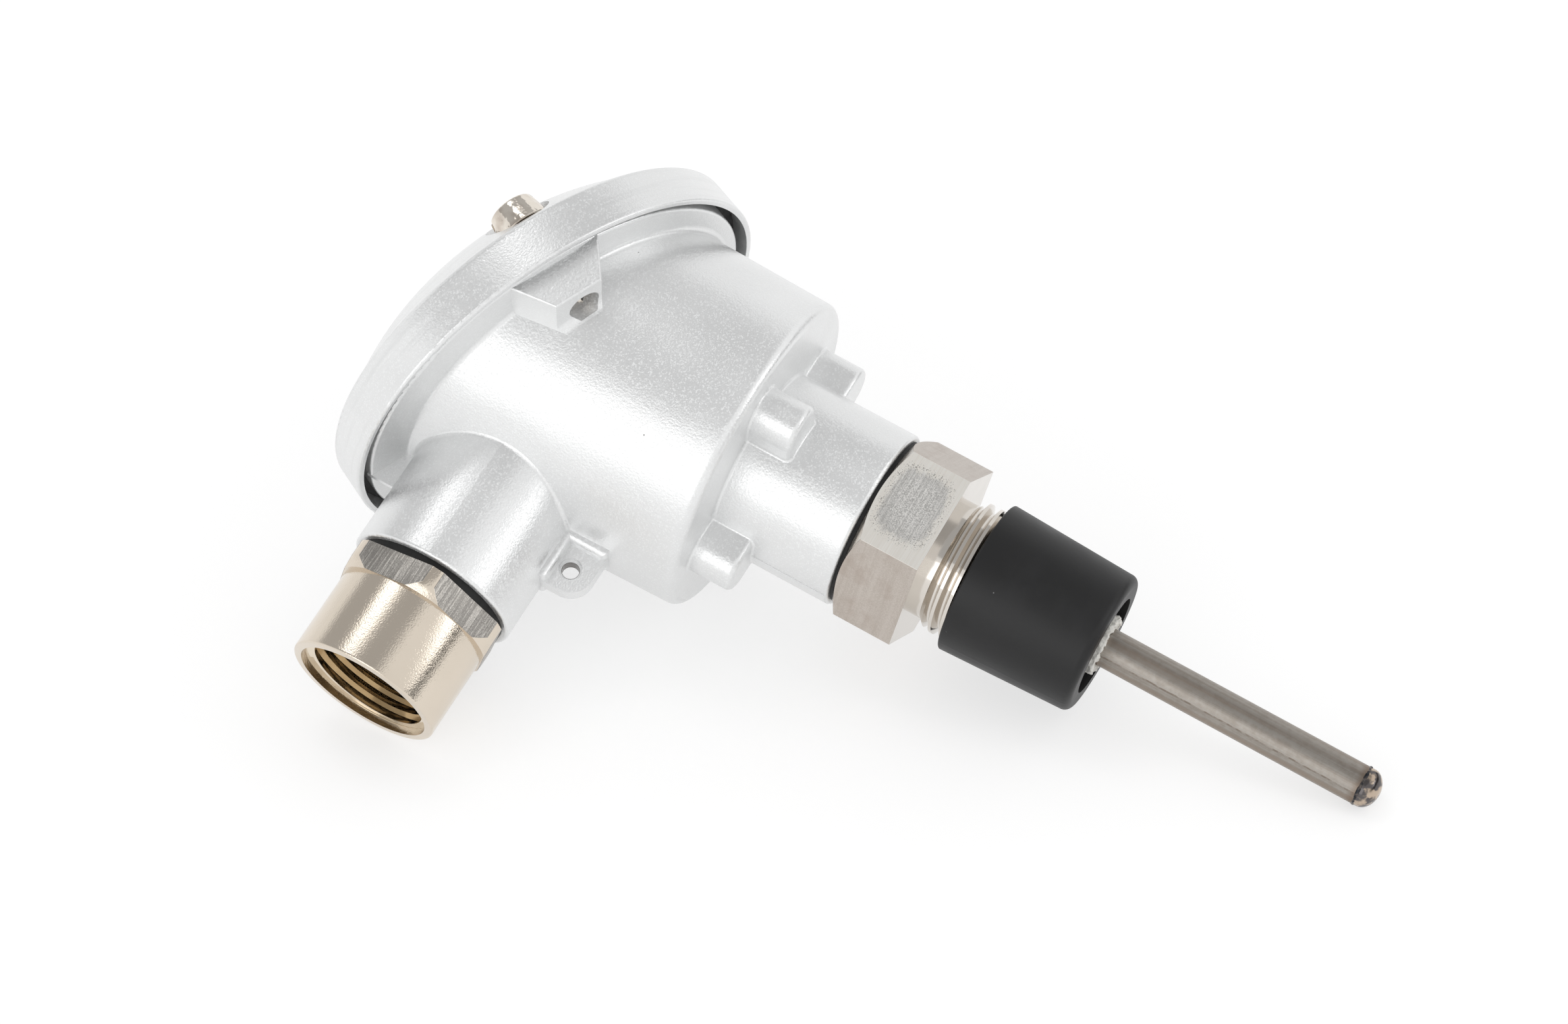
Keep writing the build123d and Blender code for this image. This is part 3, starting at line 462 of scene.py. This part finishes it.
# Cable adapter
# Turned from hexagon brass bar and nickel plated, so it looks like pale champagne. Its flats keep the marks of the
# saw and tumbling, and a female pipe thread is cut inside.
PIPE_CREST_R = 0.0104775
PIPE_ROOT_R = 0.009316
PIPE_PITCH = 0.001814
ADAPTER_THREAD = (0.0486, 0.0622)
BORE_R = 0.0099
MOUTH_X = 0.0615
MOUTH_CHAMFER = 0.0011
entry_place = Matrix.Translation((0, 0, ENTRY_Z)) @ Matrix.Rotation(pi / 2, 4, "Y")
adapter = merged_copy("conduit_adapter", "conduit_adapter_threaded")
cut_thread(adapter, PIPE_ROOT_R, PIPE_CREST_R, PIPE_PITCH, *ADAPTER_THREAD, entry_place)

ADAPTER_FLAT_AT = 0.012
ADAPTER_CORNER_DEG = -11.5


def on_flat(reach, flat_at):
    """1 where the reach comes up to the distance of a flat."""
    return reach.fade(flat_at - 0.00006, flat_at - 0.00002)


def hexagon_flats(place, centre, axis, corner_deg, flat_at):
    """1 on the flats of a hexagon bar and 0 elsewhere. The axis is the letter of the bar's own."""
    local = place.from_point(centre)
    flats = None
    for step in range(3):
        turn = radians(corner_deg + 30 + 60 * step)
        way = (0, cos(turn), sin(turn)) if axis == "X" else (cos(turn), sin(turn), 0)
        level = on_flat(local.along(way).size(), flat_at)
        flats = level if flats is None else level.math("MAXIMUM", flats, level)
    return flats


finish, shader, place = new_finish("nickel_on_brass", Metallic=1.0)
flats = hexagon_flats(place, (0, 0, ENTRY_Z), "X", ADAPTER_CORNER_DEG, ADAPTER_FLAT_AT)
grain = noise(place, 4000, 2, 0.6)
lines = noise(place, 5000, 3, 0.7, (0.02, 1, 1))
pits = noise(place, 5200, 2, 0.6)
reach = place.from_point((0, 0, ENTRY_Z)).length((0, 1, 1))
depth = MOUTH_X - MOUTH_CHAMFER - place.node("SeparateXYZ", inputs={"Vector": place})
inside = reach.fade(BORE_R + 0.0008, BORE_R + 0.0006) * depth.fade(0, 0.0001)
plain = noise(place, 120, 2).mix(tint(0.75, 0.67, 0.57), tint(0.67, 0.595, 0.50))
worn = (lines * 0.7 + pits * 0.3).fade(0.46, 0.62).mix(tint(0.30, 0.285, 0.265), tint(0.60, 0.57, 0.53))
brassy = noise(place, 400, 3).mix(tint(0.70, 0.605, 0.47), tint(0.84, 0.76, 0.63))
feed(shader, "Base Color", inside.mix(flats.mix(plain, worn), brassy))
feed(shader, "Roughness", 0.06 + grain * 0.06 + flats * 0.26)
feed(shader, "Normal", place.node("Bump", inputs={
    "Strength": 1.0, "Distance": 0.00003, "Height": (grain + flats * lines * 1.5) * (1 - inside)}))
take_over(adapter, finish, "probe", "conduit_adapter")


# Thread nipple
# Stainless double nipple, turned from 27 mm hexagon bar. Its flats are milled, with marks that run across them,
# and the near flat has a rubbed grey patch. The lower thread is bright from the die.
NIPPLE_THREAD = (-0.0156, -0.0012)
nipple = merged_copy("hex_nipple", "hex_nipple_threaded")
cut_thread(nipple, PIPE_CREST_R, PIPE_ROOT_R, PIPE_PITCH, *NIPPLE_THREAD, Matrix.Identity(4))
HEX_FLAT_AT = 0.0135
HEX_CORNER_DEG = -4.3
HEX_MIDDLE_Z = 0.0054
PATCH_HALF_HEIGHT = 0.0041
PATCH_HALF_WIDTH = 0.0054
PATCH_SIDEWAYS = 0.0004

finish, shader, place = new_finish("stainless", Metallic=1.0)
flats = hexagon_flats(place, (0, 0, 0), "Z", HEX_CORNER_DEG, HEX_FLAT_AT)
near_turn = radians(HEX_CORNER_DEG + 90)
near_flat = on_flat(place.along((cos(near_turn), sin(near_turn), 0)), HEX_FLAT_AT)
sideways = place.along((-sin(near_turn), cos(near_turn), 0))
upwards = place.along((0, 0, 1))
milling = noise(place, 5000, 3, 0.7, (0.02, 0.02, 1))
broad_milling = noise(place, 1600, 2, 0.6, (0.03, 0.03, 1))
pits = noise(place, 5500, 2, 0.6)
span = (upwards - HEX_MIDDLE_Z) / PATCH_HALF_HEIGHT
reach = (sideways - PATCH_SIDEWAYS) / PATCH_HALF_WIDTH
patch = span ** 4 + reach ** 4 + (noise(place, 1100, 4, 0.7) - 0.5) * 1.6
rubbed = near_flat * (1 - patch.fade(0.5, 1.3))
# The near flat is painted near white as a painted highlight. The other flats are painted darker as painted shade, with
# real brown stains mixed in.
painted_lit_near_flat = milling.fade(0.35, 0.65).mix(tint(0.95, 0.91, 0.845), tint(1.0, 0.975, 0.92))
stain = noise(place, 300, 2).fade(0.5, 0.72)
shaded_flats_with_stains = (pits * 0.6 + broad_milling * 0.4).fade(0.35, 0.65).mix(tint(0.47, 0.42, 0.375), tint(0.56, 0.51, 0.465))
shaded_flats_with_stains = (stain * 0.4).mix(shaded_flats_with_stains, tint(0.38, 0.31, 0.265))
grey_patch = (milling * 0.35 + pits * 0.65).fade(0.40, 0.60).mix(tint(0.50, 0.49, 0.472), tint(0.86, 0.845, 0.82))
turned_metal = noise(place, 200, 2).mix(tint(0.74, 0.70, 0.65), tint(0.64, 0.60, 0.55))
colour = rubbed.mix(near_flat.mix(flats.mix(turned_metal, shaded_flats_with_stains), painted_lit_near_flat), grey_patch)
speckle = near_flat * pits.fade(0.58, 0.62) * (1 - patch.fade(1.2, 2.4)) * patch.fade(0.2, 0.6) * 0.85
feed(shader, "Base Color", speckle.mix(colour, tint(0.24, 0.225, 0.21)))
feed(shader, "Roughness", 0.12 + flats * 0.22 + rubbed * 0.14 + milling * flats * 0.08)
feed(shader, "Normal", place.node("Bump", inputs={
    "Strength": 1.0, "Distance": 0.00001, "Height": milling * flats + broad_milling * flats}))
take_over(nipple, finish, "probe", "hex_nipple")


# Protection cap
# Black moulded plastic, pushed over the lower thread. It is matt, with a few dust specks and patches that were
# rubbed glossier.
finish, shader, place = new_finish("cap_plastic", Metallic=0.0, Specular_IOR_Level=0.4)
scuffs = noise(place, 90, 4, 0.6)
dust = place.node("TexVoronoi", inputs={"Vector": place, "Scale": 420.0}, output="Distance")
dusty = (1 - dust.fade(0.03, 0.07)) * noise(place, 130).fade(0.55, 0.6)
black = scuffs.fade(0.4, 0.8).mix(tint(0.008, 0.008, 0.0085), tint(0.015, 0.015, 0.016))
feed(shader, "Base Color", (dusty * 0.5).mix(black, tint(0.5, 0.5, 0.5)))
feed(shader, "Roughness", 0.30 + scuffs * 0.30)
feed(shader, "Normal", place.node("Bump", inputs={
    "Strength": 0.25, "Distance": 0.00004, "Height": noise(place, 1800, 2)}))
dress(finish, "thread_cap")


# White ring
# A torn ring of white sealing film is left round the sheath where it comes out of the cap. Its edge is ragged.
ragged = merged_copy("torn_seal_ring", "torn_film")
apply_modifier(ragged, "REMESH", mode="VOXEL", voxel_size=0.00012)
crumple = bpy.data.textures.new("crumple", "CLOUDS")
crumple.noise_scale = 0.0011
crumple.noise_depth = 3
apply_modifier(ragged, "DISPLACE", texture=crumple, texture_coords="LOCAL", strength=0.0011, mid_level=0.55)
only(ragged)
bpy.ops.object.shade_smooth()
finish, shader, place = new_finish("white_film", Metallic=0.0)
feed(shader, "Base Color", noise(place, 900, 3).mix(tint(0.93, 0.92, 0.88), tint(0.76, 0.74, 0.68)))
feed(shader, "Roughness", 0.5 + noise(place, 900) * 0.2)
feed(shader, "Normal", place.node("Bump", inputs={
    "Strength": 0.8, "Distance": 0.0001, "Height": noise(place, 2500, 3)}))
take_over(ragged, finish, "probe", "torn_seal_ring")


# Sheath and tip
# Stainless tube, rolled and welded along its length, with a plug welded into its end. The tube has brownish draw
# lines along it, its long weld shows as a thin dark line, and the end weld left a black seam and brown heat tint.
SHEATH_R = 0.003
BEAD_R = 0.0002
HEAT_LENGTH = 0.0015
END_WELD_Z = -0.06955
SEAM_SIDE = (0.792, 0.610, 0)
ROUND_FROM_SEAM = (-0.610, 0.792, 0)
finish, shader, place = new_finish("drawn_steel", Metallic=1.0)
draw_lines = noise(place, 2200, 3, 0.65, (1, 1, 0.01))
wide_lines = noise(place, 520, 2, 0.5, (1, 1, 0.015))
mottle = noise(place, 900, 3, 0.6)
wander = place.along(ROUND_FROM_SEAM) + (noise(place, 350, 3) - 0.5) * 0.0003
weld_line = (1 - wander.size().fade(0.00006, 0.00022)) * place.along(SEAM_SIDE).fade(0, 0.001)
steel = (draw_lines * 0.6 + mottle * 0.4).fade(0.38, 0.62).mix(tint(0.29, 0.26, 0.228), tint(0.36, 0.335, 0.305))
steel = (wide_lines.fade(0.42, 0.62) * 0.6).mix(steel, tint(0.30, 0.235, 0.185))
steel = (weld_line * mottle.fade(0.35, 0.6) * 0.6).mix(steel, tint(0.12, 0.08, 0.05))
heat = 1 - place.along((0, 0, 1)).fade(END_WELD_Z, END_WELD_Z + HEAT_LENGTH)
feed(shader, "Base Color", (heat * 0.6).mix(steel, tint(0.17, 0.11, 0.07)))
feed(shader, "Roughness", 0.33 + draw_lines * 0.14)
feed(shader, "Normal", place.node("Bump", inputs={
    "Strength": 1.0, "Distance": 0.00001, "Height": draw_lines + weld_line * 2.0}))
dress(finish, "probe_sheath")

finish, shader, place = new_finish("welded_tip", Metallic=1.0)
blotches = noise(place, 600, 3)
feed(shader, "Base Color", blotches.fade(0.42, 0.56).mix(tint(0.12, 0.11, 0.11), tint(0.52, 0.42, 0.33)))
feed(shader, "Roughness", 0.14 + blotches * 0.15)
feed(shader, "Normal", place.node("Bump", inputs={
    "Strength": 0.6, "Distance": 0.00012, "Height": noise(place, 500, 2)}))
dress(finish, "sheath_tip")

bpy.ops.object.select_all(action="DESELECT")
bpy.ops.mesh.primitive_torus_add(major_radius=SHEATH_R - 0.00008, minor_radius=BEAD_R, major_segments=160,
                                 minor_segments=16)
bead = bpy.context.object
bead.name = "end_weld"
bead.data.transform(Matrix.Translation((0, 0, END_WELD_Z - BEAD_R / 2)) @ Matrix.Diagonal((1, 1, 1.5, 1)))
puddle = bpy.data.textures.new("puddle", "CLOUDS")
puddle.noise_scale = 0.0013
apply_modifier(bead, "DISPLACE", texture=puddle, texture_coords="LOCAL", strength=0.0003, mid_level=0.6)
only(bead)
bpy.ops.object.shade_smooth()
finish, shader, place = new_finish("black_weld", Metallic=1.0)
feed(shader, "Base Color", noise(place, 1200, 3).fade(0.4, 0.6).mix(tint(0.035, 0.037, 0.042), tint(0.15, 0.13, 0.12)))
feed(shader, "Roughness", 0.2 + noise(place, 1500, 2) * 0.2)
bead.data.materials.append(finish)
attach(bead, "probe")


# Terminal block and wiring
# Inside the head a glazed ceramic block carries four brass clamps, and the sensor's three leads come up to them.
def plated(name, base, dull):
    """Bright plating on metal: one tint, clouded a little with the dull one."""
    finish, shader, place = new_finish(name, Metallic=1.0)
    clouds = noise(place, 250, 3)
    feed(shader, "Base Color", (clouds.fade(0.45, 0.75) * 0.7).mix(base, dull))
    feed(shader, "Roughness", 0.22 + clouds * 0.12)
    feed(shader, "Normal", place.node("Bump", inputs={
        "Strength": 1.0, "Distance": 0.00001, "Height": noise(place, 900, 2)}))
    return finish


finish, shader, place = new_finish("ceramic", Metallic=0.0)
feed(shader, "Base Color", noise(place, 300, 3).mix(tint(0.80, 0.77, 0.70), tint(0.70, 0.67, 0.60)))
feed(shader, "Roughness", 0.35 + noise(place, 500) * 0.2)
dress(finish, "terminal_block", "sensing_element")
dress(plated("clamp_brass", tint(0.80, 0.62, 0.34), tint(0.62, 0.46, 0.24)),
      "terminal_1", "terminal_2", "terminal_3", "terminal_4")
dress(plated("clamp_steel", tint(0.72, 0.72, 0.71), tint(0.50, 0.50, 0.49)), "terminal_screw_1",
      "terminal_screw_2", "terminal_screw_3", "terminal_screw_4", "block_screw_near", "block_screw_far")
for name, light, deep, nodes in (
        ("red_sleeve", tint(0.55, 0.03, 0.02), tint(0.35, 0.02, 0.015), ("lead_wire_red_1", "lead_wire_red_2")),
        ("white_sleeve", tint(0.80, 0.79, 0.76), tint(0.66, 0.65, 0.62), ("lead_wire_white",)),
        ("potting", tint(0.55, 0.50, 0.42), tint(0.42, 0.38, 0.32), ("sheath_plug",)),
):
    finish, shader, place = new_finish(name, Metallic=0.0)
    feed(shader, "Base Color", noise(place, 1200, 3).mix(light, deep))
    feed(shader, "Roughness", 0.45 + noise(place, 900) * 0.2)
    dress(finish, *nodes)
